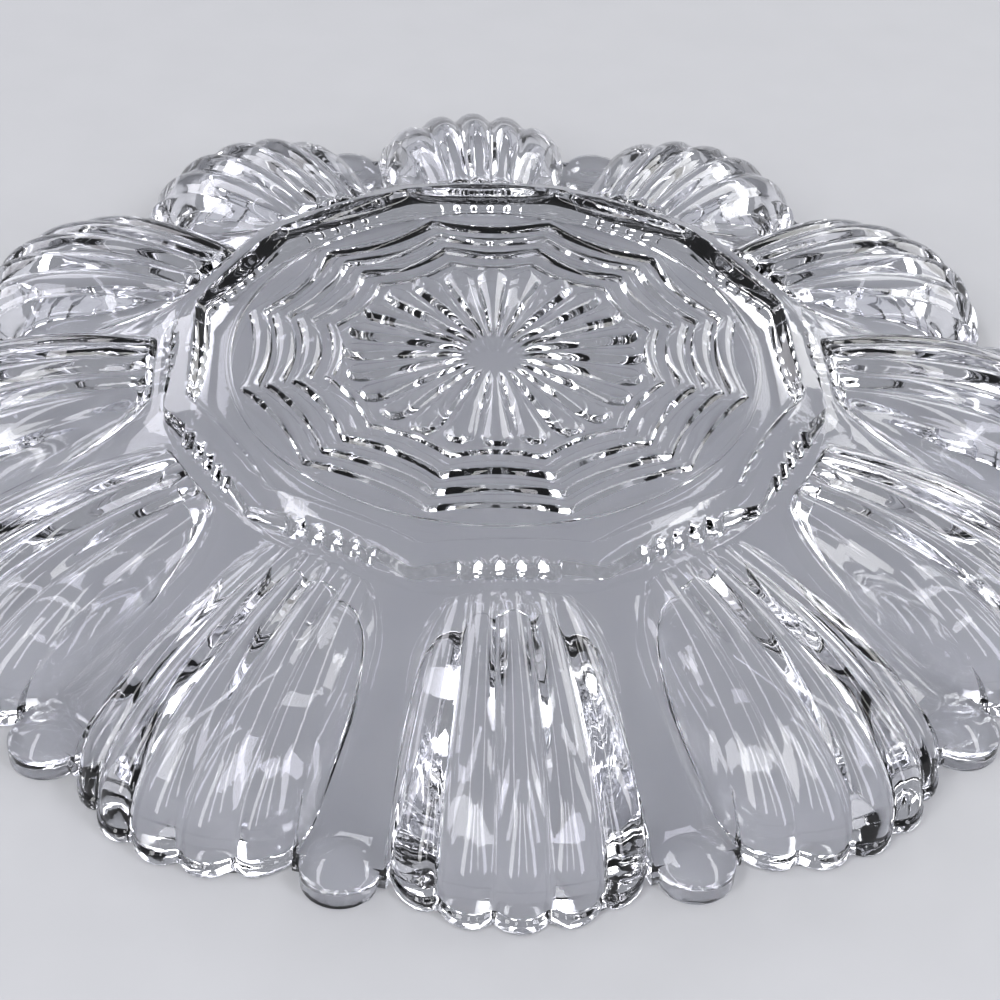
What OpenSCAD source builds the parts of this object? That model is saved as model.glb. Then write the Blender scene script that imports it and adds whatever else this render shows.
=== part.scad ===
// Egg platter of clear pressed glass, turned over so that it rests on its rim

/* [Platter] */
// Number of egg cups around the well
cup_count = 12; // [11:1:12]
// Centre to the tips of the middle rim lobes
rim_r = 127; // [125:0.5:130]
// Height of the patterned face of the well floor above the rim plane
floor_top = 28.3; // [27.8:0.1:29]
// Thickness of the glass in the floor and the land
glass = 4; // [3:0.1:4.5]

/* [Land] */
// Radius where the land starts, just outside the foot ring
land_in_r = 68.4; // [68.2:0.1:69.1]
// How far the land starts below the patterned face of the floor
land_drop = 3.2; // [2.3:0.1:3.6]
// Distance from the tips of the rim lobes in to where the sloping land levels out
land_out_inset = 17; // [15:0.5:19]
// Height of the land where it has levelled out
land_out_top = 4.2; // [3.5:0.1:5]
// How far the webs between the cups stop short of the tips of the rim lobes
web_inset = 11; // [10:0.5:13]
// Half of the width of a web where it starts at the foot ring
web_in_half_w = 1.5; // [1.2:0.1:2]

/* [Egg cups] */
// Distance from the start of the land out to the inner end of a cup
cup_gap = 1.2; // [1:0.1:2.1]
// How far the flanks start outside the middle of the inner end
end_round = 9.6; // [8:0.2:11]
// How far the crests of the flutes lie below the patterned face of the floor
flute_drop = 1.1; // [0.8:0.1:1.8]
// Depth of the grooves between the flutes at the inner end
groove_in = 1.5; // [0.8:0.1:1.6]
// Depth of the grooves between the flutes at the rim
groove_out = 2.1; // [1:0.1:2.4]
// Angle of a flute at its inner end, seen from the centre
flute_in_angle = 3.9; // [3.6:0.05:4]
// Angle of a flute at the rim, seen from the centre
flute_out_angle = 4.45; // [4.2:0.05:4.5]
// Number of flutes on a cup, with one lobe of the rim below each
flute_count = 5; // [3:2:5]
// Radius of the arched section of a cup
barrel_r = 27; // [25:0.5:32]
// Length of the curve from the level top of a cup out to the lip
bend_run = 50; // [46:0.5:52]
// How far the rim stands back at the flanks of a cup
rim_setback = 8.2; // [7:0.1:9]
// How far the lip stands out from the flutes
lip_out = 0.8; // [0.4:0.1:1.2]
// Height of the lip
lip_h = 2.6; // [2:0.1:3.5]

/* [Egg hollows] */
// Height of the glass between the deepest part of a hollow and the crests of the flutes
hollow_roof = 6.5; // [6:0.25:8]
// Distance from the start of the land out to the inner end of a hollow
hollow_in_wall = 3.1; // [2.6:0.1:4.4]
// Distance from the tips of the rim lobes in to the outer end of a hollow
hollow_out_wall = 6.5; // [6:0.5:9]
// Glass between the side of a hollow and the web next to it
hollow_side_wall = 2.1; // [1.6:0.1:3.5]

/* [Rim beads] */
// Distance from the tips of the rim lobes in to the middle of a bead
bead_inset = 9.4; // [8.6:0.1:10.5]
// Radius of a bead
bead_r = 7; // [6.2:0.1:7.2]
// How much wider a web is than the bead at its outer end, on either side
bead_gap = 0.2; // [0.1:0.05:0.5]
// Height of the straight edge of a bead
bead_edge_h = 3.4; // [2.6:0.1:4]
// Height of the domed face of a bead
bead_dome_h = 1.8; // [1:0.1:2.4]

/* [Foot ring] */
// Height of the foot ring above the patterned face of the floor
foot_h = 2.3; // [1.9:0.1:4]
// Width of the shoulder outside the points of the foot ring
foot_gap = 0.4; // [0.3:0.1:1]
// How far the foot ring stands further in behind each cup than at its points
foot_dip = 3.8; // [3.4:0.1:4.4]
// Width of the foot ring
foot_w = 4.2; // [3.4:0.1:4.8]
// Length of the slope on the crest of the foot ring, up to its outward points
foot_slope_w = 6.4; // [5.6:0.1:7]
// How far the crest slopes down to the outward points
foot_edge_drop = 2.6; // [1.6:0.1:3]
// Width of the level step at the inner side of the foot ring
foot_step_w = 4.2; // [3.8:0.1:4.8]
// Radius of the rounded ribs on the outer wall of the foot ring
rib_r = 1.9; // [1.8:0.05:2.2]
// How far below the crest of the foot ring the ribs end
rib_drop = 2.1; // [2:0.1:2.6]
// Distance between the ribs
rib_pitch = 3.7; // [3.5:0.05:4]
// Ribs on either side of the middle one
side_ribs = 2; // [1:1:2]

/* [Web pattern] */
// Distance from the outward points of the outer web ring to the round line
web_margin = 2.4; // [1.8:0.1:3]
// Distance from one web ring to the next
web_pitch = 5.4; // [5:0.1:5.4]
// Number of web rings
web_rings = 4; // [2:1:4]
// How far the arcs of a web ring bow inwards from straight lines between its points
web_bow = 1.9; // [1:0.1:2.2]
// Turn of the web rings and of the sunburst against the egg cups
pattern_turn = -1.5; // [-3:0.5:3]
// Height of the web ridges above the floor
web_h = 1.1; // [0.6:0.1:1.4]
// Width of a web ridge at the floor
web_w = 3.6; // [2.6:0.1:4]
// Distance from the round line that frames the pattern to the edge of the floor
frame_margin = 2.8; // [1.8:0.1:3.4]
// Height of the round line
frame_h = 0.7; // [0.4:0.1:1]
// Width of the round line
frame_w = 1.8; // [1.2:0.1:2]

/* [Sunburst] */
// Distance from the tips of the petals to the points of the inmost web ring
petal_margin = 3.8; // [3.6:0.1:5]
// Where the petals start
petal_start_r = 6; // [5:0.25:8]
// Half of the gap between two petals at their rounded tips
petal_gap = 0.7; // [0.4:0.1:1.4]
// Half width of a petal where it starts
petal_start_half_w = 0.6; // [0.4:0.05:0.7]
// Height of the petals above the floor
petal_h = 1.2; // [0.8:0.1:1.4]

/* [Hidden] */
$fn = 96;

sector = 360 / cup_count;
petal_count = 2 * cup_count;
// Overrun of every cut past the faces that it opens
cut = 1;
floor_under = floor_top - glass;
foot_top = floor_top + foot_h;
foot_edge_top = foot_top - foot_edge_drop;
rib_top = foot_top - rib_drop;
// Share of a rib's radius by which its middle lies inside the wall
rib_sink_share = 0.6;
// Radii of the foot ring at its points, behind a cup, where its crest starts to slope,
// and where it meets the floor
foot_point_r = land_in_r - foot_gap;
foot_mid_r = foot_point_r - foot_dip;
foot_crest_r = foot_point_r - foot_slope_w;
foot_in_r = foot_mid_r - foot_w - foot_step_w;
// Radii of the round line, the inmost web ring and the tips of the petals
frame_r = foot_in_r - frame_margin;
web_first_r = frame_r - web_margin - (web_rings - 1) * web_pitch;
petal_tip_r = web_first_r - petal_margin;
petal_turn = 180 / petal_count;
petal_half_w = (petal_tip_r * sin(petal_turn) - petal_gap) / (1 + sin(petal_turn));
// Radii and heights of the land, the webs, the beads and the cups
land_in_top = floor_top - land_drop;
land_out_r = rim_r - land_out_inset;
web_r = rim_r - web_inset;
web_out_half_w = bead_r + bead_gap;
bead_place_r = rim_r - bead_inset;
cup_in_r = land_in_r + cup_gap;
flute_top = floor_top - flute_drop;
land_in_under = land_in_top - glass;
land_slope = (land_in_top - land_out_top) / (land_out_r - land_in_r);
// Radius where the underside of the sloping land reaches the rim plane
under_out_r = land_in_r + land_in_under / land_slope;
// How much a web widens for each unit of its length, and the lean of its sides
web_taper_share = (web_out_half_w - web_in_half_w) / (web_r - land_in_r);
web_side_angle = atan(web_taper_share);
// Steps across one flute, and stations along a cup and around its curve
flute_steps = 4;
crest_steps = 2;
bend_steps = 9;
hollow_steps = 11;
// Steps along one arc of a web ring, and the rounding of its section
arc_steps = 8;
web_round_share = 0.2;
web_rise_share = 0.8;
// Width of the slope at the inner end of a cup
end_slope_w = 1.4;
// Fullness of the bowl of a hollow: 2 is an ellipse, more is squarer
hollow_fullness_share = 2.1;
// Share of a hollow's length from its inner end to its widest part
hollow_middle_share = 0.42;
// Shape of the line on which the lobes of the rim stand, and of the inner end
setback_share = 2.2;
end_share = 5;

function numbered(name, i) = str(name, i < 10 ? "0" : "", i);
function cup_turn(i) = (i - 1) * sector - 90;
function blend(a, b, share) = a + (b - a) * share;

// Height of the land at a radius, on the foot side and on the food side
function land_at(r) = r > land_out_r ? land_out_top : land_in_top - (r - land_in_r) * land_slope;
function under_at(r) = max(0, land_in_under - (r - land_in_r) * land_slope);

// Bands of a cup from flank to flank: one for each flute and one for each flank
half_flutes = flute_count / 2;
flute_marks = [
    for (k = [0 : flute_count * flute_steps])
        -half_flutes + k / flute_steps
];
last_mark = half_flutes + 1;
marks = concat([-last_mark, -half_flutes - 0.5], flute_marks, [half_flutes + 0.5, last_mark]);

// Share of the full height that a mark has between the flank and the flutes
function flank_share(mark) = min(1, last_mark - abs(mark));
// Arch of a flute across its width: 1 on the crest and 0 in the groove
function arch(mark) = let (off = mark - round(mark)) abs(mark) > half_flutes ? 0 : 1 - 4 * off * off;
// Angle from the middle of a cup to the side of the web next to it
function side_angle(r) =
    sector / 2 - web_side_angle
    - asin((web_in_half_w - web_taper_share * land_in_r) * cos(web_side_angle) / r);

// Angle of a mark from the middle of the cup, at a radius
function mark_angle(mark, r) =
    let (
        way = (r - land_in_r) / (rim_r - land_in_r),
        pitch = blend(flute_in_angle, flute_out_angle, way),
        edge = half_flutes * pitch,
        inside = min(abs(mark), half_flutes) * pitch,
        beyond = max(0, abs(mark) - half_flutes) * (side_angle(r) - edge)
    )
    sign(mark) * (inside + beyond);

// Radius of the outer wall at a mark, above the lip
function wall_r(mark) =
    let (
        spread = abs(mark_angle(mark, rim_r)) / side_angle(rim_r),
        dip = abs(mark) > half_flutes ? 0 : groove_out * (1 - arch(mark))
    )
    rim_r - lip_out - rim_setback * pow(spread, setback_share) - dip;

// Radius where the inner end of the cup crosses the line of a mark
function end_r(mark) =
    cup_in_r + end_round * pow(abs(mark_angle(mark, cup_in_r)) / side_angle(cup_in_r), end_share);

// Height of the foot side of a cup at a mark and a radius
function crest_at(mark, r) =
    let (
        side = r * sin(abs(mark_angle(mark, r))),
        dropped = barrel_r - sqrt(max(0, barrel_r * barrel_r - side * side)),
        way = (r - land_in_r) / (rim_r - land_in_r),
        groove = blend(groove_in, groove_out, way) * (1 - arch(mark)),
        full = flute_top - dropped - groove
    )
    blend(land_at(r), max(full, land_at(r)), flank_share(mark));

// Point on the line of a mark at a radius and a height
function polar(mark, r, z) =
    let (angle = mark_angle(mark, r)) [r * cos(angle), r * sin(angle), z];

// Foot side of a cup along one mark, from the foot ring out to the rim plane
function outside_line(mark) =
    let (
        start_r = end_r(mark),
        bend_r = max(start_r + end_slope_w, wall_r(mark) - bend_run),
        bend_w = wall_r(mark) - bend_r,
        bend_z = crest_at(mark, bend_r),
        fall = bend_z - lip_h,
        lip_r = wall_r(mark) + lip_out
    )
    concat(
        [
            polar(mark, land_in_r, land_in_top),
            polar(mark, start_r - end_slope_w / 2, land_at(start_r - end_slope_w / 2))
        ],
        [
            for (k = [0 : crest_steps])
                let (r = blend(start_r + end_slope_w / 2, bend_r, k / crest_steps))
                polar(mark, r, crest_at(mark, r))
        ],
        [
            for (k = [1 : bend_steps])
                let (
                    turn = 90 * k / bend_steps,
                    r = bend_r + bend_w * sin(turn),
                    z = bend_z - fall * (1 - cos(turn))
                )
                polar(mark, r, blend(min(z, land_at(r)), z, flank_share(mark)))
        ],
        [
            polar(mark, lip_r, lip_h),
            polar(mark, lip_r, 0)
        ]
    );

// Lengths of a hollow from its widest part, half of its width there, and its top
hollow_in_r = land_in_r + hollow_in_wall;
hollow_out_r = rim_r - hollow_out_wall;
hollow_r = blend(hollow_in_r, hollow_out_r, hollow_middle_share);
hollow_in_run = hollow_r - hollow_in_r;
hollow_out_run = hollow_out_r - hollow_r;
hollow_half_w = hollow_r * sin(side_angle(hollow_r)) - hollow_side_wall;
hollow_top = flute_top - hollow_roof;

// Shares of the width of a hollow at a mark, and its reach from its widest part
function hollow_side(mark) = hollow_r * sin(abs(mark_angle(mark, hollow_r))) / hollow_half_w;
function hollow_reach(mark, run) = run * sqrt(max(0, 1 - pow(hollow_side(mark), 2)));

// Food side of a cup along one mark, from the rim in to the well
function inside_line(mark) =
    let (
        open = hollow_side(mark) < 1,
        out_r = open ? hollow_r + hollow_reach(mark, hollow_out_run) : hollow_r + cut,
        in_r = open ? hollow_r - hollow_reach(mark, hollow_in_run) : hollow_r - cut
    )
    concat(
        [polar(mark, max(under_out_r, out_r + cut / 2), 0)],
        [
            for (k = [0 : hollow_steps])
                let (
                    turn = 180 * k / hollow_steps,
                    r = blend(in_r, out_r, (1 + cos(turn)) / 2),
                    run = r > hollow_r ? hollow_out_run : hollow_in_run,
                    off = pow((r - hollow_r) / run, 2) + pow(hollow_side(mark), 2),
                    bowl = pow(max(0, 1 - pow(off, hollow_fullness_share / 2)), 1 / hollow_fullness_share)
                )
                polar(mark, r, open ? blend(under_at(r), hollow_top, bowl) : under_at(r))
        ],
        [polar(mark, land_in_r, land_in_under)]
    );

// A cup as a skin over lines that run from flank to flank
module egg_cup(number) {
    lines = [for (mark = marks) concat(outside_line(mark), inside_line(mark))];
    loop = len(lines[0]);
    rows = len(lines);
    sides = [
        for (i = [0 : rows - 2], j = [0 : loop - 1])
            let (
                a = i * loop + j,
                b = i * loop + (j + 1) % loop,
                c = a + loop,
                d = b + loop
            )
            each [[a, b, d], [a, d, c]]
    ];
    first_end = [for (j = [0 : loop - 1]) loop - 1 - j];
    last_end = [for (j = [0 : loop - 1]) (rows - 1) * loop + j];
    color("gainsboro")
    rotate([0, 0, cup_turn(number)])
    polyhedron(
        points = [for (line = lines) each line],
        faces = concat(sides, [first_end, last_end]),
        convexity = 6
    );
}

// Smooth strip of land between two cups, widening out to the bead
module land_web(number) {
    out_r = web_r + cut;
    out_w = web_out_half_w + cut * web_taper_share;
    start_r = land_in_r - cut;
    start_w = web_in_half_w - cut * web_taper_share;
    color("lightgray")
    rotate([0, 0, cup_turn(number) + sector / 2])
    difference() {
        intersection() {
            rotate([0, 0, -sector / 2])
            rotate_extrude(angle = sector)
            polygon([
                [land_in_r, land_in_under],
                [land_in_r, land_in_top],
                [land_out_r, land_out_top],
                [web_r, land_out_top],
                [web_r, 0],
                [under_out_r, 0]
            ]);
            translate([0, 0, -cut])
            linear_extrude(height = foot_top)
            polygon([
                [start_r, -start_w],
                [out_r, -out_w],
                [out_r, out_w],
                [start_r, start_w]
            ]);
        }
        translate([bead_place_r, 0, -cut])
        cylinder(h = land_out_top + 2 * cut, r = bead_r);
    }
}

// Round bead on the rim between two cups
module rim_bead(number) {
    dome_r = (bead_r * bead_r + bead_dome_h * bead_dome_h) / (2 * bead_dome_h);
    color("whitesmoke")
    rotate([0, 0, cup_turn(number) + sector / 2])
    translate([bead_place_r, 0, 0])
    intersection() {
        cylinder(h = bead_edge_h + bead_dome_h, r = bead_r);
        translate([0, 0, bead_edge_h + bead_dome_h - dome_r])
        sphere(r = dome_r);
    }
}

// Radius of an arc that bows inwards to mid_r between two outward points
function bow_arc_r(point_r, mid_r) =
    let (
        half_chord = point_r * sin(sector / 2),
        sag = point_r * cos(sector / 2) - mid_r
    )
    (half_chord * half_chord + sag * sag) / (2 * sag);

// Solid bounded by twelve arcs that bow inwards between outward points
module bowed_fill(point_r, mid_r, height) {
    arc_r = bow_arc_r(point_r, mid_r);
    corners = [
        for (i = [1 : cup_count])
            let (turn = cup_turn(i) + sector / 2)
            [point_r * cos(turn), point_r * sin(turn)]
    ];
    linear_extrude(height = height)
    difference() {
        polygon(corners);
        for (i = [1 : cup_count])
            rotate(cup_turn(i))
            translate([mid_r + arc_r, 0])
            circle(r = arc_r);
    }
}

// Scalloped ring whose crest slopes outwards, with upright ribs behind each cup
module foot_ring() {
    arc_r = bow_arc_r(foot_point_r, foot_mid_r);
    rib_turn = rib_pitch / (2 * PI * arc_r) * 360;
    rib_sink = rib_r * rib_sink_share;
    crest_slope = (foot_top - foot_edge_top) / (foot_point_r - foot_crest_r);
    color("silver")
    difference() {
        intersection() {
            union() {
                translate([0, 0, land_in_top])
                bowed_fill(foot_point_r, foot_mid_r, foot_top - land_in_top);
                for (i = [1 : cup_count], k = [-side_ribs : side_ribs])
                    rotate([0, 0, cup_turn(i)])
                    translate([foot_mid_r + arc_r, 0, land_in_top])
                    rotate([0, 0, 180 + k * rib_turn])
                    translate([arc_r + rib_sink, 0, 0])
                    cylinder(h = rib_top - land_in_top, r = rib_r);
            }
            rotate_extrude()
            polygon([
                [0, land_in_top - cut],
                [0, foot_top],
                [foot_crest_r, foot_top],
                [land_in_r, foot_top - (land_in_r - foot_crest_r) * crest_slope],
                [land_in_r, land_in_top - cut]
            ]);
        }
        translate([0, 0, floor_top])
        bowed_fill(foot_point_r - foot_w, foot_mid_r - foot_w, foot_top);
        translate([0, 0, land_in_top - cut])
        cylinder(h = foot_top, r = foot_in_r);
    }
}

// Ring under the foot ring that joins the floor to the land
module shoulder_ring() {
    color("silver")
    rotate_extrude()
    polygon([
        [foot_in_r, floor_under],
        [foot_in_r, land_in_top],
        [land_in_r, land_in_top],
        [land_in_r, land_in_under]
    ]);
}

module well_floor() {
    color("gainsboro")
    translate([0, 0, floor_under])
    cylinder(h = glass, r = foot_in_r);
}

// Radius of a line of arcs that bow inwards between outward points, at an angle
function bowed_r(point_r, bow, angle) =
    let (
        half_chord = point_r * sin(sector / 2),
        arc_r = (half_chord * half_chord + bow * bow) / (2 * bow),
        centre_r = point_r * cos(sector / 2) - bow + arc_r,
        off = angle - sector * round(angle / sector)
    )
    centre_r * cos(off) - sqrt(arc_r * arc_r - pow(centre_r * sin(off), 2));

// Low rounded ridge that lies on the floor as a closed ring of bowed arcs
module web_ring(number) {
    point_r = web_first_r + (number - 1) * web_pitch;
    station_count = cup_count * arc_steps;
    section = [
        [-web_w / 2, 0],
        [-web_w / 2 + web_w * web_round_share, web_h * web_rise_share],
        [0, web_h],
        [web_w / 2 - web_w * web_round_share, web_h * web_rise_share],
        [web_w / 2, 0]
    ];
    size = len(section);
    color("whitesmoke")
    rotate([0, 0, cup_turn(1) + pattern_turn])
    polyhedron(
        points = [
            for (k = [0 : station_count - 1])
                let (angle = k * sector / arc_steps, r = bowed_r(point_r, web_bow, angle))
                for (spot = section)
                    [(r + spot[0]) * cos(angle), (r + spot[0]) * sin(angle), floor_top + spot[1]]
        ],
        faces = [
            for (k = [0 : station_count - 1], j = [0 : size - 1])
                let (
                    next = (k + 1) % station_count * size,
                    a = k * size + j,
                    b = k * size + (j + 1) % size,
                    c = next + j,
                    d = next + (j + 1) % size
                )
                each [[a, b, d], [a, d, c]]
        ],
        convexity = 10
    );
}

module frame_line() {
    line_r = (frame_w * frame_w / 4 + frame_h * frame_h) / (2 * frame_h);
    color("whitesmoke")
    intersection() {
        translate([0, 0, floor_top])
        cylinder(h = frame_h, r = foot_in_r);
        translate([0, 0, floor_top + frame_h - line_r])
        rotate_extrude()
        translate([frame_r, 0])
        circle(r = line_r);
    }
}

// Half-round petal that widens to a rounded tip
module petal() {
    arc_steps = 6;
    bulb_r = petal_tip_r - petal_half_w;
    scale([1, 1, petal_h / petal_half_w])
    rotate([90, 0, 90])
    rotate_extrude(angle = 180)
    polygon(concat(
        [[0, petal_start_r], [petal_start_half_w, petal_start_r]],
        [
            for (k = [0 : arc_steps])
                let (turn = 90 * k / arc_steps)
                [petal_half_w * cos(turn), bulb_r + petal_half_w * sin(turn)]
        ]
    ));
}

module sunburst() {
    color("white")
    translate([0, 0, floor_top])
    for (i = [0 : petal_count - 1])
        rotate([0, 0, i * 360 / petal_count + pattern_turn])
        petal();
}

well_floor();
sunburst();
frame_line();
shoulder_ring();
foot_ring();
for (i = [1 : web_rings]) {
    web_ring(i);
}
for (i = [1 : cup_count]) {
    egg_cup(i);
    land_web(i);
    rim_bead(i);
}
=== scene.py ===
import math

import bmesh
import bpy
from mathutils import Matrix, Vector


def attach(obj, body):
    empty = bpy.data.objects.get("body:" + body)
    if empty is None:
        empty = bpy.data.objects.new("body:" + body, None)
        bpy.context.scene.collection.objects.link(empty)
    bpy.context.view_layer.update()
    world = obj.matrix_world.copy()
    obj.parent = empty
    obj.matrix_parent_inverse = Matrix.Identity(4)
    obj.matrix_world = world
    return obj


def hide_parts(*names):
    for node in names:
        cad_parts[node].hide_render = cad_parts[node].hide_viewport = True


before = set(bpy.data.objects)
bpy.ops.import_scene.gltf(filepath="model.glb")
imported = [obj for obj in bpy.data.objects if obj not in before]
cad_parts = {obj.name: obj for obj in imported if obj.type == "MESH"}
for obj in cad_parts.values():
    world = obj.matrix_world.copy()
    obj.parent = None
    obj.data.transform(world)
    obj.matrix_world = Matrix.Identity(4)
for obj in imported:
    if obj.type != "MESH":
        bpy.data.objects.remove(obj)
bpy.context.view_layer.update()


# ---------------------------------------------------------------- The table and the light
# The platter lies face down on a plain pale table. Tall soft windows stand before it, and
# soft lamps above it, beside it and behind it draw long streaks along its flutes.

def linear(code):
    """Linear colour of an sRGB hex code."""
    parts = [int(code[i:i + 2], 16) / 255 for i in (1, 3, 5)]
    return [p / 12.92 if p <= 0.04045 else ((p + 0.055) / 1.055) ** 2.4 for p in parts] + [1]


def node(tree, kind, values=None, links=None, **settings):
    """Adds a shader node with its settings, socket values and incoming links."""
    new = tree.nodes.new(kind)
    for name, value in settings.items():
        setattr(new, name, value)
    for name, value in (values or {}).items():
        new.inputs[name].default_value = value
    for name, source in (links or {}).items():
        tree.links.new(source, new.inputs[name])
    return new


def new_material(name):
    """Empty node material and its output node."""
    material = bpy.data.materials.new(name)
    material.use_nodes = True
    material.node_tree.nodes.clear()
    return material, material.node_tree, node(material.node_tree, "ShaderNodeOutputMaterial")


scene = bpy.context.scene
scene.view_settings.view_transform = "Standard"

# The table's face lies a hair below the rim, so that the two don't flicker
bpy.ops.object.select_all(action="DESELECT")
bpy.ops.mesh.primitive_circle_add(vertices=96, radius=0.9, fill_type="NGON",
                                  location=(0, 0, -0.0004))
table = bpy.context.object
table.name = "table_top"

# Matt painted board: even and pale, with the faintest mottle of a roller, about 17 mm wide
board, tree, output = new_material("matt_painted_board")
place = node(tree, "ShaderNodeTexCoord")
mottle = node(tree, "ShaderNodeTexNoise", {"Scale": 60, "Detail": 4},
              {"Vector": place.outputs["Object"]})
shade = node(tree, "ShaderNodeValToRGB", links={"Fac": mottle.outputs["Fac"]})
shade.color_ramp.elements[0].color = linear("#B2B3B5")
shade.color_ramp.elements[1].color = linear("#B7B8BA")
paint = node(tree, "ShaderNodeBsdfPrincipled",
             {"Roughness": 0.85, "Specular IOR Level": 0.2},
             {"Base Color": shade.outputs["Color"]})
tree.links.new(paint.outputs["BSDF"], output.inputs["Surface"])
table.data.materials.append(board)

lamps = [
    # name, width and height in metres, place, watts, colour
    ("window_left", 0.26, 1.15, (-0.62, -0.72, 0.72), 6.6, "#FFFFFF"),
    ("window_right", 0.22, 1.1, (0.66, -0.68, 0.66), 5.2, "#F6F5FF"),
    ("window_middle_left", 0.10, 1.1, (-0.2, -0.85, 0.85), 2.6, "#FBFAFF"),
    ("window_middle_right", 0.08, 1.0, (0.22, -0.8, 0.85), 1.8, "#FFFFFF"),
    ("overhead_strip_left", 1.2, 0.07, (-0.42, 0.05, 0.85), 1.8, "#FBFAFF"),
    ("overhead_strip_right", 1.2, 0.07, (0.46, 0.05, 0.82), 1.8, "#FFFFFF"),
    ("strip_lamp_left", 0.16, 0.7, (-0.98, 0.05, 0.45), 1.9, "#F8F7FF"),
    ("strip_lamp_right", 0.16, 0.7, (0.98, 0.1, 0.45), 1.9, "#FFFFFF"),
    ("lamp_behind_left", 0.38, 0.45, (-0.52, 0.85, 0.5), 2.3, "#F8F7FF"),
    ("lamp_behind_right", 0.38, 0.45, (0.54, 0.85, 0.48), 2.3, "#FFFFFF"),
    ("low_lamp_behind_left", 0.5, 0.26, (-0.85, 0.58, 0.27), 1.6, "#F8F7FF"),
    ("low_lamp_behind_right", 0.5, 0.26, (0.87, 0.56, 0.27), 1.6, "#FFFFFF"),
]
for name, width, height, spot, power, colour in lamps:
    bpy.ops.object.light_add(type="AREA", location=spot)
    lamp = bpy.context.object
    lamp.name = name
    lamp.data.shape = "RECTANGLE"
    lamp.data.size = width
    lamp.data.size_y = height
    lamp.data.energy = power
    lamp.data.color = linear(colour)[:3]
    lamp.rotation_euler = Vector(spot).to_track_quat("Z", "Y").to_euler()

# A dim room that gives little light of its own: it is brighter where the glass shows it,
# and the backdrop is pale to the eye
ROOM_LIGHT, ADDED_IN_GLASS, ADDED_TO_EYE = 0.42, 0.36, 1.25
room = bpy.data.worlds.new("dim_studio")
scene.world = room
room.use_nodes = True
tree = room.node_tree
path = node(tree, "ShaderNodeLightPath")
in_glass = node(tree, "ShaderNodeMath", links={0: path.outputs["Is Glossy Ray"],
                                               1: path.outputs["Is Transmission Ray"]},
                operation="MAXIMUM")
dim = node(tree, "ShaderNodeMath", {1: ADDED_IN_GLASS, 2: ROOM_LIGHT},
           {0: in_glass.outputs[0]}, operation="MULTIPLY_ADD")
pale = node(tree, "ShaderNodeMath", {1: ADDED_TO_EYE},
            {0: path.outputs["Is Camera Ray"], 2: dim.outputs[0]}, operation="MULTIPLY_ADD")
tree.nodes["Background"].inputs["Color"].default_value = linear("#A8AAB0")
tree.links.new(pale.outputs[0], tree.nodes["Background"].inputs["Strength"])


# ---------------------------------------------------------------- The camera
# It stands in front of one egg cup and looks down at the foot of the platter, as the
# photographer did, close enough for the cups at the left and right to leave the frame.

bpy.ops.object.camera_add()
camera = bpy.context.object
camera.name = "camera"
camera.data.sensor_width = 36
camera.data.lens = 79.772
to_right = Vector((0.998365, -0.045799, 0.034212))
to_top = Vector((0.002702, 0.635601, 0.772013))
onward = Vector((0.057103, 0.770658, -0.634685))
camera.matrix_world = Matrix.Translation((-0.0246045, -0.3655661, 0.2909341)) @ Matrix(
    (to_right, to_top, -onward)).transposed().to_4x4()
scene.camera = camera


# ---------------------------------------------------------------- The pattern of the well
# A sunburst of rounded petals and four rings of bowed arcs, in relief on the underside of
# the glass well, where the mould was cut with them.

# The platter is one moulding, so each of these sections adds rows of points for a twelfth
# of it, from the middle out and back below. Sizes are in millimetres, and angles in degrees
# from the middle of the twelfth.
CUPS = 12
SECTOR = 360 / CUPS
HALF_SECTOR = SECTOR / 2
FLOOR = 28.3
FRAME_OUT_R = 54.4
PATTERN_TURN = -1.5
rows = []


def soft_step(x):
    """0 below 0 and 1 above 1, with a smooth rise between."""
    x = min(1, max(0, x))
    return x * x * (3 - 2 * x)


def bowed(point_r, bow, angle, soft=0.5):
    """Radius of an arc that bows inwards between outward points at the sector's edges."""
    half = point_r * math.sin(math.radians(HALF_SECTOR))
    arc = (half * half + bow * bow) / (2 * bow)
    centre = point_r * math.cos(math.radians(HALF_SECTOR)) - bow + arc
    to_point = HALF_SECTOR - abs(angle)
    off = math.radians(HALF_SECTOR - math.sqrt(to_point ** 2 + soft ** 2))
    return centre * math.cos(off) - math.sqrt(arc * arc - (centre * math.sin(off)) ** 2)


def spread(count):
    """Angles across the sector, evenly spaced."""
    return [-HALF_SECTOR + SECTOR * k / count for k in range(count + 1)]


def placed(angle, r, z, turn=0.0):
    """A point of a row: its angle across the sector, and where it stands."""
    a = math.radians(angle + turn)
    return angle, (r * math.cos(a), r * math.sin(a), z)


def lay_row(angles, radius, height, turn=0.0):
    """Adds one row of points; radius and height are numbers or functions of the angle."""
    row = []
    for angle in angles:
        r = radius(angle) if callable(radius) else radius
        z = height(angle, r) if callable(height) else height
        row.append(placed(angle, r, z, turn))
    rows.append(row)


def petal_height(angle, r):
    """Relief of the sunburst: drop-shaped petals, two to a sector."""
    start, bulb, tip, wide, narrow, high, apart = 5.5, 27.6, 30.6, 3.1, 0.62, 1.15, 15
    if not start < r < tip:
        return FLOOR
    side = r * math.sin(math.radians(angle - apart * round(angle / apart)))
    half = narrow + (wide - narrow) * (r - start) / (bulb - start)
    if r > bulb:
        half = wide * math.sqrt(max(0, 1 - ((r - bulb) / (tip - bulb)) ** 2))
    if half <= abs(side):
        return FLOOR
    # A petal lifts off within 3 mm, to 55% of its height, and is full after 16 mm
    rise = soft_step((r - start) / 3) * (0.55 + 0.45 * soft_step((r - start) / 16))
    return FLOOR + high * rise * (1 - (side / half) ** 2) ** 0.9


def ring_height(share):
    """Relief across a web ring, a low rounded ridge, at a share of half its width."""
    return max(0, 1 - abs(share) ** 2.3)


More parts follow.
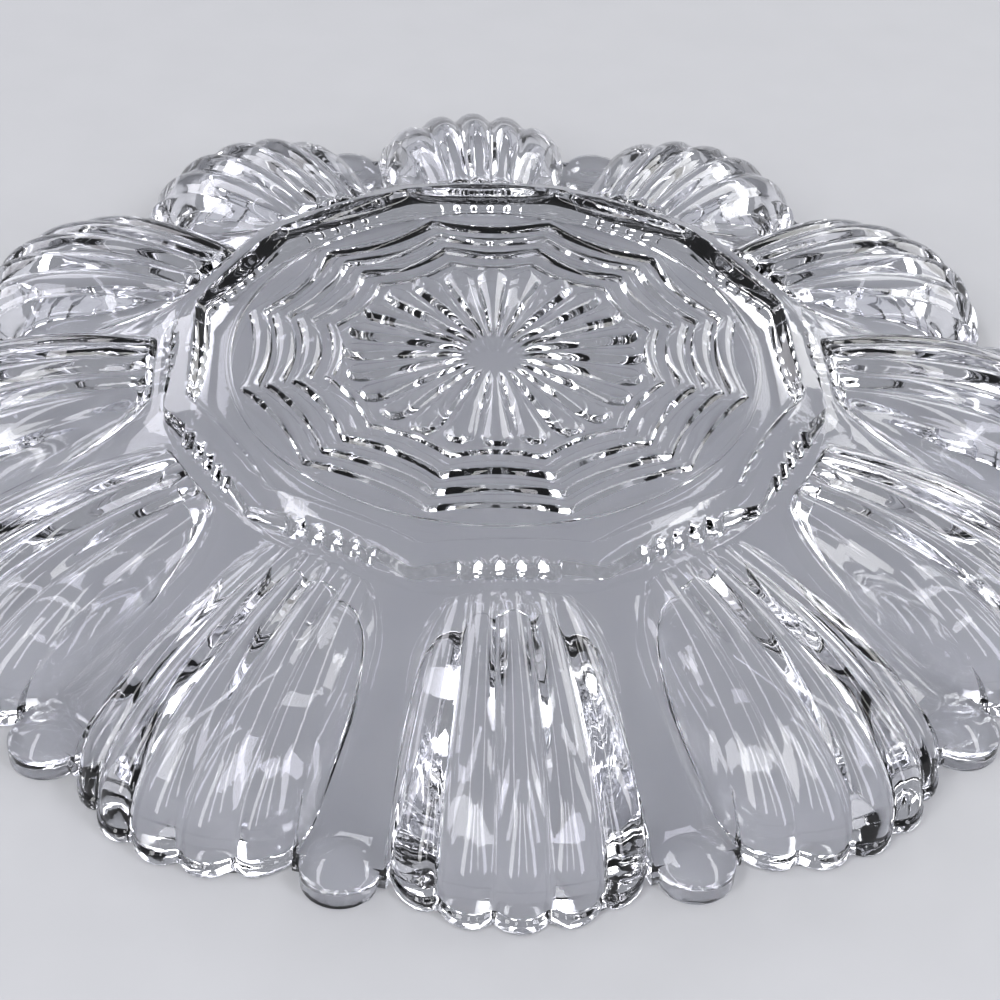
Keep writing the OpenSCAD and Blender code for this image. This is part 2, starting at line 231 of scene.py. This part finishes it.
# The smooth hub, the petals, and closer rows round their tips
petal_angles = spread(32)
for k in range(5):
    lay_row(spread(8), 1 + k * 1.1, FLOOR, PATTERN_TURN)
for k in range(19):
    lay_row(petal_angles, 5.6 + k * 1.15, petal_height, PATTERN_TURN)
for k in range(9):
    lay_row(petal_angles, 27 + k * 0.45, petal_height, PATTERN_TURN)

ring_angles = spread(18)
web_rings = [
    # radius of the points, bow, half width, height
    (34.5, 1.6, 1.2, 0.7),
    (40.2, 1.9, 2.1, 1.05),
    (45.6, 1.9, 2.1, 1.05),
    (50.6, 1.9, 2.0, 1.0),
]
for point_r, bow, half_w, high in web_rings:
    for share in (-1.14, -1, -0.85, -0.65, -0.35, 0, 0.35, 0.65, 0.85, 1, 1.14):
        lay_row(ring_angles, lambda a: bowed(point_r, bow, a) + share * half_w,
                FLOOR + high * ring_height(share), PATTERN_TURN)

# The fine round line that frames the web
for r, rise in ((53.0, 0), (53.3, 0.25), (53.7, 0.3), (54.1, 0.25), (FRAME_OUT_R, 0)):
    lay_row(ring_angles, r, FLOOR + rise, PATTERN_TURN)


# ---------------------------------------------------------------- The foot ring
# The platter stands on this scalloped ring when it is turned the right way up. It is pressed
# with the well: level inside, sloping outwards, with five rounded ribs behind each cup.

RIBS, RIB_R, RIB_PITCH, RIB_OUT, RIB_POINTS = 5, 64.2, 3.7, 0.85, 10
FOOT_TOP, CREST_R, CREST_SLOPE, LAND_Z = 30.6, 61.6, 0.406, 25.1
# Radius of the corners and bow of the arcs between them
FLOOR_EDGE, FOOT_IN, FOOT_OUT, CORNER_SOFT = (60.2, 1.63), (63.8, 1.63), (68.0, 1.48), 0.8
rib_step = math.degrees(RIB_PITCH / RIB_R) / RIB_POINTS
corner_angles = [-15, -14.5, -13.8, -13, -12, -11, -10.1]
foot_angles = corner_angles + [k * rib_step for k in range(-28, 29)]
foot_angles += [-a for a in reversed(corner_angles)]


def rib(angle):
    """1 on the middle of a rib and 0 between two, and 0 away from the five ribs."""
    way = abs(math.radians(angle) * RIB_R / RIB_PITCH)
    if way > RIBS / 2:
        return 0
    return 1 - (2 * abs(way - round(way))) ** 2.4


for share in (0.35, 0.8):
    lay_row(ring_angles, lambda a: FRAME_OUT_R + share * (
        bowed(*FLOOR_EDGE, a, CORNER_SOFT) - FRAME_OUT_R), FLOOR)
foot_profile = [
    # inner or outer side, offset, height, share of a rib
    ("in", -3.2, FLOOR, 0), ("in", -2.4, 28.45, 0), ("in", -1.7, 28.85, 0),
    ("in", -1.1, 29.4, 0), ("in", -0.5, 29.95, 0), ("in", 0.1, 30.35, 0),
    ("in", 0.7, 30.55, 0), ("in", 1.3, FOOT_TOP, 0),
    ("out", -1.5, FOOT_TOP, 0), ("out", -0.7, 30.2, 0), ("out", -0.25, 29.6, 0),
    ("out", -0.05, 29.25, 0.15), ("out", 0.05, 29.0, 0.6), ("out", 0.12, 28.7, 0.9),
    ("out", 0.2, 28.3, 1), ("out", 0.4, 27.3, 1), ("out", 0.7, 26.2, 1),
    ("out", 1.1, 25.5, 0.7), ("out", 1.8, 25.15, 0.2), ("out", 2.7, LAND_Z, 0),
]
for side, off, z, ribbed in foot_profile:
    corner_r, bow = FOOT_IN if side == "in" else FOOT_OUT

    def foot_r(angle):
        """Radius of this row; its foot spreads out less towards the corners."""
        near_corner = soft_step((abs(angle) - 9) / 6)
        out = off * (1 - 0.85 * near_corner) if off > 0 else off
        return bowed(corner_r, bow, angle, CORNER_SOFT) + out + RIB_OUT * ribbed * rib(angle)

    def foot_z(angle, r):
        """Height of this row, under the sloping crest and above the land."""
        return max(LAND_Z, min(z, FOOT_TOP - CREST_SLOPE * max(0, r - CREST_R)))
    lay_row(foot_angles if side == "out" else spread(24), foot_r, foot_z)


# ---------------------------------------------------------------- The egg cups and the webs
# Twelve cups of the same glass hold half an egg each. Seen from below every cup is a barrel
# of five rounded flutes that the mould ends in five lobes at the rim, and smooth webs of
# glass run between the cups.

RIM_R, LIP_OUT, LIP_TOP = 127.0, 0.8, 3.4
LAND_R, LAND_OUT_R, LAND_OUT_Z = 68.4, 110.0, 4.2
WEB_IN_HALF_W, WEB_OUT_R, WEB_OUT_HALF_W = 1.5, 116, 7.2
CUP_R, END_ROUND, END_SLOPE = 69.6, 9.6, 1.4
BARREL_R, BARREL_TOP, BEND_RUN, BEND_ROWS = 27, 27.2, 50, 32
# Half the number of flutes, and the degrees that one takes at the foot ring and at the rim
HALF_FLUTES, FLUTE_IN, FLUTE_OUT = 2.5, 3.9, 4.45
# Depth of the grooves between the flutes, at the foot ring, at the rim and in the wall
GROOVE_IN, GROOVE_OUT, WALL_GROOVE = 1.6, 2.1, 2.0


def land_z(r):
    """Height of the smooth land between the cups."""
    fall = (r - LAND_R) * (LAND_Z - LAND_OUT_Z) / (LAND_OUT_R - LAND_R)
    return max(LAND_OUT_Z, LAND_Z - fall)


def web_angle(r):
    """Angle at which the cup ends and the web begins."""
    taper = (WEB_OUT_HALF_W - WEB_IN_HALF_W) / (WEB_OUT_R - LAND_R)
    lean = math.atan(taper)
    reach = (WEB_IN_HALF_W - taper * LAND_R) * math.cos(lean)
    return HALF_SECTOR - math.degrees(lean) - math.degrees(math.asin(reach / r))


def mark_angle(mark, r):
    """Angle of a line of the cup, numbered in flutes from its middle; beyond 3.5 is web."""
    way = (r - LAND_R) / (RIM_R - LAND_R)
    pitch = FLUTE_IN + (FLUTE_OUT - FLUTE_IN) * way
    edge = web_angle(r)
    size = abs(mark)
    angle = min(size, HALF_FLUTES) * pitch
    if size > HALF_FLUTES:
        angle += min(1, size - HALF_FLUTES) * (edge - HALF_FLUTES * pitch)
    if size > HALF_FLUTES + 1:
        angle += (size - HALF_FLUTES - 1) * (HALF_SECTOR - edge)
    return math.copysign(angle, mark)


def flute_arch(mark):
    """1 on the crest of a flute and 0 in the rounded groove beside it."""
    if abs(mark) > HALF_FLUTES:
        return 0
    # Height and slope of the arch where the groove's fillet starts, and the groove's bottom
    fillet, arch, slope, bottom = 0.84, 0.3533, 1.9246, 0.1993
    off = 2 * abs(mark - round(mark))
    full = 1 - off ** 2.5
    if off >= fillet:
        full = arch - slope * (off - fillet) * (1 - (off - fillet) / (2 * (1 - fillet)))
    return (full - bottom) / (1 - bottom)


def flank(mark):
    """Share of the cup's height: 1 across the flutes, falling to 0 at the web."""
    straight = 0.65
    share = min(1, max(0, HALF_FLUTES + 1 - abs(mark)))
    return straight * share + (1 - straight) * soft_step(share)


def wall_r(mark):
    """Radius of the cup's outer wall above the lip, which draws back towards the flanks."""
    edge = min(1, abs(mark_angle(mark, RIM_R)) / web_angle(RIM_R))
    drawn_back = 8.2 * edge ** 2.2
    dip = WALL_GROOVE * (1 - flute_arch(mark)) if abs(mark) <= HALF_FLUTES else 0
    return RIM_R - LIP_OUT - drawn_back - dip


def end_r(mark):
    """Radius of the cup's inner end, which curves back at the flanks like a horseshoe."""
    edge = min(1, abs(mark_angle(mark, CUP_R)) / web_angle(CUP_R))
    return CUP_R + END_ROUND * edge ** 5


def crest_z(mark, r):
    """Height of the cup at a radius, before its outer end falls to the lip."""
    side = r * math.sin(math.radians(min(abs(mark_angle(mark, r)), web_angle(r))))
    barrel = BARREL_R - math.sqrt(max(0, BARREL_R * BARREL_R - side * side))
    way = (r - LAND_R) / (RIM_R - LAND_R)
    # A groove starts at 35% of its depth and is full 5 mm from the cup's inner end
    opened = 0.35 + 0.65 * soft_step((r - end_r(mark)) / 5)
    depth = opened * (GROOVE_IN + (GROOVE_OUT - GROOVE_IN) * way)
    return BARREL_TOP - barrel - depth * (1 - flute_arch(mark))


flute_steps = (-0.5, -0.46, -0.41, -0.3, -0.15, 0, 0.15, 0.3, 0.41, 0.46)
marks = [flute + step for flute in range(-2, 3) for step in flute_steps] + [HALF_FLUTES]
side_marks = [2.7, 2.9, 3.1, 3.3, 3.5, 3.62, 3.8, 4.1, 4.5]
marks = [-m for m in reversed(side_marks)] + marks + side_marks
lip = [
    # out from the wall, height
    (0.0, 3.3), (0.2, 2.85), (0.55, 2.6), (0.75, 2.3), (LIP_OUT, 1.9), (LIP_OUT, 0.8),
    (0.6, 0.25), (0.2, 0.0),
]


def cup_line(mark):
    """Points of one line of the cup or web, from the foot ring out to the rim plane."""
    start, wall, share = end_r(mark), wall_r(mark), flank(mark)
    land_start, land_end, slope_end = LAND_R + 0.1, start - END_SLOPE / 2, start + END_SLOPE / 2
    bend_r = max(start + END_SLOPE, wall - BEND_RUN)
    bend_z = crest_z(mark, bend_r)

    def lowered(r, z):
        """Height on the flank, which falls from the cup's full height to the land."""
        return land_z(r) + (z - land_z(r)) * share

    line = [(r, land_z(r)) for r in (land_start, (land_start + land_end) / 2, land_end)]
    for way in (0.25, 0.5, 0.75, 1):
        r = start + END_SLOPE * (way - 0.5)
        rise = (crest_z(mark, r) - land_z(r)) * math.sin(math.pi / 2 * way)
        line.append((r, lowered(r, land_z(r) + rise)))
    for way in (1 / 3, 2 / 3):
        r = slope_end + (bend_r - slope_end) * way
        line.append((r, lowered(r, crest_z(mark, r))))
    for k in range(BEND_ROWS + 1):
        turn = math.pi / 2 * k / BEND_ROWS
        r = bend_r + (wall - bend_r) * math.sin(turn)
        z = bend_z - (bend_z - LIP_TOP) * (1 - math.cos(turn))
        line.append((r, lowered(r, z)))
    return line + [(wall + out, z) for out, z in lip]


cup_lines = [cup_line(mark) for mark in marks]
for points in zip(*cup_lines):
    rows.append([placed(mark_angle(mark, r), r, z) for mark, (r, z) in zip(marks, points)])


# ---------------------------------------------------------------- The food side
# The plunger leaves this side smooth: an oval hollow in every cup for half an egg, sloping
# land between the hollows, and the flat well. It faces down, and shows through the glass.

HOLLOW_R, HOLLOW_IN, HOLLOW_OUT, HOLLOW_HALF_W = 92.0, 20.5, 28.5, 17.5
HOLLOW_TOP, FULLNESS, BOWL_ROWS = 20.7, 2.4, 26
UNDER_Z, UNDER_SLOPE, UNDER_EASE, WELL_Z = 21.1, 0.502, 0.6, 24.3


def under_z(r):
    """Height of the food side of the land, easing into the flat rim."""
    z = UNDER_Z - (r - LAND_R) * UNDER_SLOPE
    past_the_rim = z <= -6
    return 0 if past_the_rim else 0.5 * (z + math.sqrt(z * z + UNDER_EASE))


# Ten angles from the middle of a hollow to its side, and four more to the sector's edge
half_angles = []
for k in range(10):
    side = math.sin(math.pi / 2 * k / 9)
    half_angles.append(math.degrees(math.asin(side * HOLLOW_HALF_W / HOLLOW_R)))
half_angles += [half_angles[-1] + (HALF_SECTOR - half_angles[-1]) * k / 4 for k in (1, 2, 3, 4)]
hollow_angles = [-a for a in reversed(half_angles[1:])] + half_angles
rim_row = rows[-1]


def hollow_side(angle):
    """Share of the half width of a hollow at an angle."""
    return min(1, HOLLOW_R * math.sin(math.radians(abs(angle))) / HOLLOW_HALF_W)


def hollow_edge(angle, run):
    """Radius of the hollow's edge at an angle, outwards or, with a negative run, inwards."""
    return HOLLOW_R + run * max(0, 1 - hollow_side(angle) ** FULLNESS) ** (1 / FULLNESS)


def rim_inner_r(angle):
    """Radius of the cup's outermost row, on the rim plane, at an angle."""
    for (a0, p0), (a1, p1) in zip(rim_row, rim_row[1:]):
        if a0 <= angle <= a1:
            share = (angle - a0) / (a1 - a0)
            return math.hypot(p0[0], p0[1]) * (1 - share) + math.hypot(p1[0], p1[1]) * share
    return math.hypot(rim_row[-1][1][0], rim_row[-1][1][1])


# The flat rim, and the land from it to the hollows
for way in (0.12, 0.25, 0.4, 0.55, 0.7, 0.85, 1.0):
    def between(angle):
        """Radius of this row, on its way from the rim to the hollow's outer edge."""
        outer = rim_inner_r(max(-HALF_SECTOR, min(HALF_SECTOR, angle)))
        return outer + (hollow_edge(angle, HOLLOW_OUT) - outer) * way
    lay_row(hollow_angles, between,
            lambda a, r: under_z(r) if way > 0.3 else 0.0)

for k in range(1, BOWL_ROWS):
    turn = math.pi * k / BOWL_ROWS

    def across(angle):
        """Radius of this row, on its way through the hollow to its inner edge."""
        outer, inner = hollow_edge(angle, HOLLOW_OUT), hollow_edge(angle, -HOLLOW_IN)
        return inner + (outer - inner) * (1 + math.cos(turn)) / 2

    def bowl_z(angle, r):
        """Height of the hollow, whose rounded edge opens into a full bowl."""
        run = HOLLOW_OUT if r > HOLLOW_R else HOLLOW_IN
        off = abs((r - HOLLOW_R) / run) ** FULLNESS + hollow_side(angle) ** FULLNESS
        bowl = max(0, 1 - off ** 0.85) ** (1 / 2.1)
        return under_z(r) + (HOLLOW_TOP - under_z(r)) * bowl
    lay_row(hollow_angles, across, bowl_z)

# The land from the hollows in to the foot ring, and the well
for way in (0, 0.3, 0.6, 1.0):
    lay_row(hollow_angles, lambda a: hollow_edge(a, -HOLLOW_IN) + (
        LAND_R - hollow_edge(a, -HOLLOW_IN)) * way, lambda a, r: under_z(r))
for r, z in ((64, 22.2), (60, 23.2), (57.5, 23.85), (55.5, 24.2), (53, WELL_Z),
             (40, WELL_Z), (20, WELL_Z)):
    lay_row(spread(16), r, z)
lay_row(spread(8), 6, WELL_Z)


# ---------------------------------------------------------------- The moulding
# The whole platter is pressed at once from one gather of glass. The rows are knitted into
# a twelfth of it, the twelfth is copied round the centre line, and the copies are welded.

MM = 0.001
# In metres: corners of a face this near are one, and points this near are welded
SAME_POINT, WELD = 1e-7, 0.00001


def knit(shape, row_a, row_b, points_a, points_b):
    """Joins two rows by faces, also where they have different numbers of points."""
    if len(row_a) == len(row_b):
        for k in range(len(row_a) - 1):
            add_face(shape, (points_a[k], points_b[k], points_b[k + 1], points_a[k + 1]))
        return
    i = j = 0
    while i < len(row_a) - 1 or j < len(row_b) - 1:
        next_a = row_a[i + 1][0] if i < len(row_a) - 1 else math.inf
        next_b = row_b[j + 1][0] if j < len(row_b) - 1 else math.inf
        if next_a <= next_b:
            add_face(shape, (points_a[i], points_b[j], points_a[i + 1]))
            i += 1
        else:
            add_face(shape, (points_a[i], points_b[j], points_b[j + 1]))
            j += 1


def add_face(shape, corners):
    """Adds a face, leaving out corners that fall together."""
    kept = []
    for corner in corners:
        if all((corner.co - other.co).length > SAME_POINT for other in kept):
            kept.append(corner)
    if len(kept) > 2:
        shape.faces.new(kept)


shape = bmesh.new()
knots = [[shape.verts.new([c * MM for c in point]) for _, point in row] for row in rows]
for row_a, row_b, points_a, points_b in zip(rows, rows[1:], knots, knots[1:]):
    knit(shape, row_a, row_b, points_a, points_b)
for points, z in ((knots[0], FLOOR), (knots[-1], WELL_Z)):
    middle = shape.verts.new((0, 0, z * MM))
    for p, q in zip(points, points[1:]):
        shape.faces.new((middle, p, q))
sector_mesh = bpy.data.meshes.new("platter_sector")
shape.to_mesh(sector_mesh)
shape.free()

bpy.ops.object.select_all(action="DESELECT")
platter = bpy.data.objects.new("pressed_platter", sector_mesh)
scene.collection.objects.link(platter)
parts = [platter]
for k in range(1, CUPS):
    part = bpy.data.objects.new("twelfth_%d" % k, sector_mesh.copy())
    scene.collection.objects.link(part)
    parts.append(part)
for k, part in enumerate(parts):
    part.data.transform(Matrix.Rotation(math.radians(SECTOR * k - 90), 4, "Z"))
    part.select_set(True)
bpy.context.view_layer.objects.active = platter
bpy.ops.object.join()
bpy.ops.object.mode_set(mode="EDIT")
bpy.ops.mesh.select_all(action="SELECT")
bpy.ops.mesh.remove_doubles(threshold=WELD)
bpy.ops.mesh.normals_make_consistent(inside=False)
bpy.ops.object.mode_set(mode="OBJECT")


# ---------------------------------------------------------------- The rim beads
# A round thumbprint bead stands on the rim between two cups, where the web widens. It is
# part of the same moulding: a short drum of glass with a gently domed face.

BEAD_R, BEAD_PLACE_R, BEAD_EDGE, CREASE = 7.0, 117.6, 3.4, 34
# The dome of a bead: five steps inwards, each with its rise
dome = ((0.25, 0.35), (0.75, 0.35), (1.4, 0.45), (1.6, 0.35), (1.6, 0.25))
for k in range(CUPS):
    turn = math.radians(SECTOR * k - 90 + HALF_SECTOR)
    bpy.ops.object.select_all(action="DESELECT")
    bpy.ops.mesh.primitive_cylinder_add(
        vertices=56, radius=BEAD_R * MM, depth=BEAD_EDGE * MM, end_fill_type="NGON",
        location=(BEAD_PLACE_R * MM * math.cos(turn), BEAD_PLACE_R * MM * math.sin(turn),
                  BEAD_EDGE * MM / 2))
    bead = bpy.context.object
    bpy.ops.object.transform_apply(location=True, rotation=True, scale=True)
    bpy.ops.object.mode_set(mode="EDIT")
    bpy.ops.mesh.select_mode(type="FACE")
    bpy.ops.mesh.select_all(action="DESELECT")
    bpy.ops.object.mode_set(mode="OBJECT")
    for face in bead.data.polygons:
        face.select = face.normal.z > 0.9
    bpy.ops.object.mode_set(mode="EDIT")
    for inwards, rise in dome:
        bpy.ops.mesh.inset(thickness=inwards * MM, depth=0)
        bpy.ops.transform.translate(value=(0, 0, rise * MM))
    bpy.ops.object.mode_set(mode="OBJECT")
    union = platter.modifiers.new("bead_union", "BOOLEAN")
    union.operation = "UNION"
    union.solver = "MANIFOLD"
    union.object = bead
    bpy.ops.object.select_all(action="DESELECT")
    bpy.context.view_layer.objects.active = platter
    platter.select_set(True)
    bpy.ops.object.modifier_apply(modifier=union.name)
    bpy.data.objects.remove(bead)
bpy.ops.object.shade_smooth_by_angle(angle=math.radians(CREASE))

# Pressed soda-lime glass: clear and colourless, with the soft waves (9 mm) and faint ripples
# (2 mm) that the iron mould and the fire polish leave, so its lights break up a little
glass, tree, output = new_material("pressed_soda_lime_glass")
place = node(tree, "ShaderNodeTexCoord")
wave = node(tree, "ShaderNodeTexNoise", {"Scale": 110, "Detail": 2, "Roughness": 0.45},
            {"Vector": place.outputs["Object"]})
ripple = node(tree, "ShaderNodeTexNoise", {"Scale": 520, "Detail": 2, "Roughness": 0.5},
              {"Vector": place.outputs["Object"]})
slow = node(tree, "ShaderNodeBump", {"Strength": 0.1, "Distance": 0.0006},
            {"Height": wave.outputs["Fac"]})
quick = node(tree, "ShaderNodeBump", {"Strength": 0.14, "Distance": 0.0001},
             {"Height": ripple.outputs["Fac"], "Normal": slow.outputs["Normal"]})
tint = node(tree, "ShaderNodeValToRGB", links={"Fac": wave.outputs["Fac"]})
tint.color_ramp.elements[0].color = linear("#F4F5FA")
tint.color_ramp.elements[1].color = linear("#FAFAFC")
clear = node(tree, "ShaderNodeBsdfPrincipled",
             {"Roughness": 0.02, "IOR": 1.52, "Transmission Weight": 1.0},
             {"Base Color": tint.outputs["Color"], "Normal": quick.outputs["Normal"]})
tree.links.new(clear.outputs["BSDF"], output.inputs["Surface"])
platter.data.materials.clear()
platter.data.materials.append(glass)

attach(platter, "root")
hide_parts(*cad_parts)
